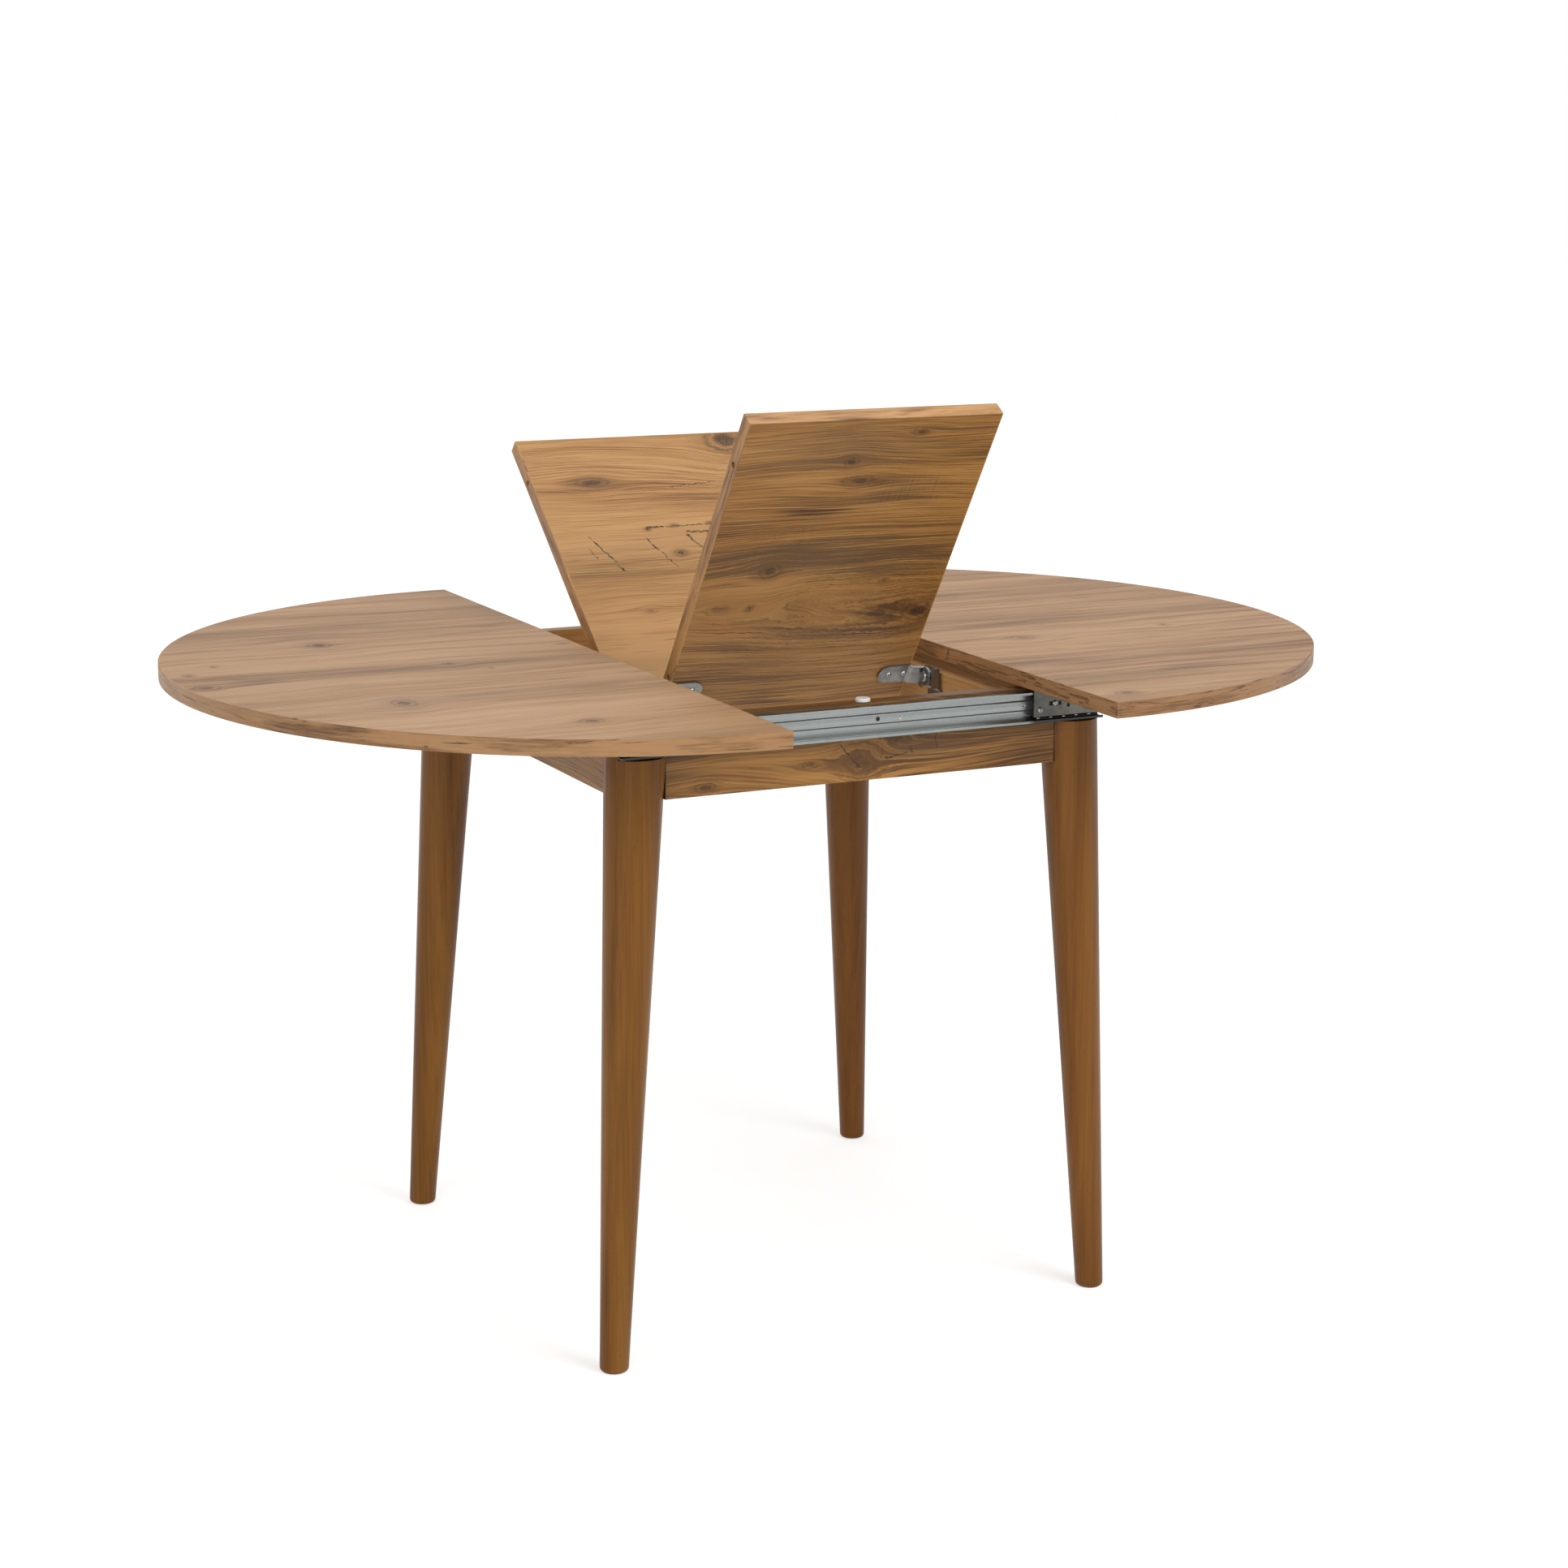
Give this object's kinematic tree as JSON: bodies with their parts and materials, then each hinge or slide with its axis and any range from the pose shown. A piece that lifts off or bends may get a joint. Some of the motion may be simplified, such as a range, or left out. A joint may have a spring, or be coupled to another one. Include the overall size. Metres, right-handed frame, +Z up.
{
  "type": "butterfly leaf table",
  "caption": "Round wooden extending table: two half tops on ball-bearing slides, drawn apart over a splayed-leg frame, with a folding butterfly leaf half turned up between them.",
  "frame": {"origin": "on the floor under the middle of the table, where the fold line of the flat leaf crosses the middle of the gap", "axes": "+X the way the right half slides out, +Y towards the rear, +Z up"},
  "size_m": [1.3898, 1, 1.0525],
  "materials": {
    "stained_beech": "satin brown stain",
    "pine_decor_frame": "matt rustic pine decor on board",
    "pine_decor_top": "matt rustic pine decor on board",
    "pine_decor_edge": "matt rustic pine edge band",
    "white_plastic": "matt",
    "galvanised_steel": "galvanised",
    "polished_steel": "polished",
    "brass": "satin",
    "zinc_plated_steel": "bright zinc"
  },
  "bodies": {
    "frame": {"leg_front_right": "stained_beech", "leg_front_left": "stained_beech", "leg_rear_right": "stained_beech", "leg_rear_left": "stained_beech", "apron_front": "pine_decor_frame", "apron_rear": "pine_decor_frame", "apron_left": "pine_decor_frame", "apron_right": "pine_decor_frame", "pivot_rail_left": "pine_decor_frame", "pivot_rail_right": "pine_decor_frame", "corner_plate_front_right": "galvanised_steel", "corner_plate_front_left": "galvanised_steel", "corner_plate_rear_right": "galvanised_steel", "corner_plate_rear_left": "galvanised_steel", "corner_screws": "zinc_plated_steel", "leg_bolts": "zinc_plated_steel", "leg_nuts": "zinc_plated_steel", "slide_channel_front": "galvanised_steel", "slide_channel_rear": "galvanised_steel", "channel_screws": "zinc_plated_steel", "bumpers": "white_plastic", "pivot_plate_left": "galvanised_steel", "pivot_plate_right": "galvanised_steel", "pivot_studs": "zinc_plated_steel", "pivot_screws": "zinc_plated_steel"},
    "left_top": {"left_top": "pine_decor_top", "left_top_edging": "pine_decor_edge", "slide_runner_front_left": "galvanised_steel", "slide_runner_rear_left": "galvanised_steel", "runner_angle_front_left": "galvanised_steel", "runner_angle_rear_left": "galvanised_steel", "runner_screws_left": "zinc_plated_steel", "top_screws_left": "zinc_plated_steel"},
    "right_top": {"right_top": "pine_decor_top", "right_top_edging": "pine_decor_edge", "slide_runner_front_right": "galvanised_steel", "slide_runner_rear_right": "galvanised_steel", "runner_angle_front_right": "galvanised_steel", "runner_angle_rear_right": "galvanised_steel", "runner_screws_right": "zinc_plated_steel", "top_screws_right": "zinc_plated_steel"},
    "ball_cage_front_right": {"ball_cage_front_right": "galvanised_steel", "balls_front_right": "polished_steel"},
    "ball_cage_front_left": {"ball_cage_front_left": "galvanised_steel", "balls_front_left": "polished_steel"},
    "ball_cage_rear_right": {"ball_cage_rear_right": "galvanised_steel", "balls_rear_right": "polished_steel"},
    "ball_cage_rear_left": {"ball_cage_rear_left": "galvanised_steel", "balls_rear_left": "polished_steel"},
    "leaf_front": {"leaf_front_panel": "pine_decor_top", "leaf_front_edging": "pine_decor_edge", "leaf_front_hinge_cups": "brass", "leaf_bracket_left": "galvanised_steel", "leaf_bracket_right": "galvanised_steel", "bracket_screws": "zinc_plated_steel"},
    "fold_links": {"fold_links": "brass"},
    "leaf_rear": {"leaf_rear_panel": "pine_decor_top", "leaf_rear_edging": "pine_decor_edge", "leaf_rear_hinge_cups": "brass"}
  },
  "joints": [
    {"name": "right_top_slide", "type": "slide", "parent": "frame", "child": "right_top", "axis": [1, 0, 0], "range_m": [-0.0398, 0]},
    {"name": "left_top_slide", "type": "slide", "parent": "frame", "child": "left_top", "axis": [-1, 0, 0], "range_m": [-0.0398, 0]},
    {"name": "ball_cage_front_right_slide", "type": "slide", "parent": "frame", "child": "ball_cage_front_right", "axis": [1, 0, 0], "range_m": [-0.0199, 0]},
    {"name": "ball_cage_front_left_slide", "type": "slide", "parent": "frame", "child": "ball_cage_front_left", "axis": [-1, 0, 0], "range_m": [-0.0199, 0]},
    {"name": "ball_cage_rear_right_slide", "type": "slide", "parent": "frame", "child": "ball_cage_rear_right", "axis": [1, 0, 0], "range_m": [-0.0199, 0]},
    {"name": "ball_cage_rear_left_slide", "type": "slide", "parent": "frame", "child": "ball_cage_rear_left", "axis": [-1, 0, 0], "range_m": [-0.0199, 0]},
    {"name": "leaf_turn", "type": "hinge", "parent": "frame", "child": "leaf_front", "pos_m": [0, -0.123, 0.716], "axis": [1, 0, 0], "range_deg": [-48, 57.6]},
    {"name": "fold_links_turn", "type": "hinge", "parent": "leaf_front", "child": "fold_links", "pos_m": [0, -0.02839, 0.63037], "axis": [1, 0, 0], "range_deg": [-49.06, 40.88]},
    {"name": "leaf_fold", "type": "hinge", "parent": "leaf_front", "child": "leaf_rear", "pos_m": [0, -0.02839, 0.63037], "axis": [1, 0, 0], "range_deg": [-98.11, 81.76]}
  ],
  "couplings": [
    {"joint": "ball_cage_front_right_slide", "follows": "right_top_slide", "ratio": 0.5},
    {"joint": "ball_cage_front_left_slide", "follows": "left_top_slide", "ratio": 0.5},
    {"joint": "ball_cage_rear_right_slide", "follows": "right_top_slide", "ratio": 0.5},
    {"joint": "ball_cage_rear_left_slide", "follows": "left_top_slide", "ratio": 0.5},
    {"joint": "fold_links_turn", "follows": "leaf_turn", "ratio": -0.85156},
    {"joint": "leaf_fold", "follows": "leaf_turn", "ratio": -1.7031}
  ]
}
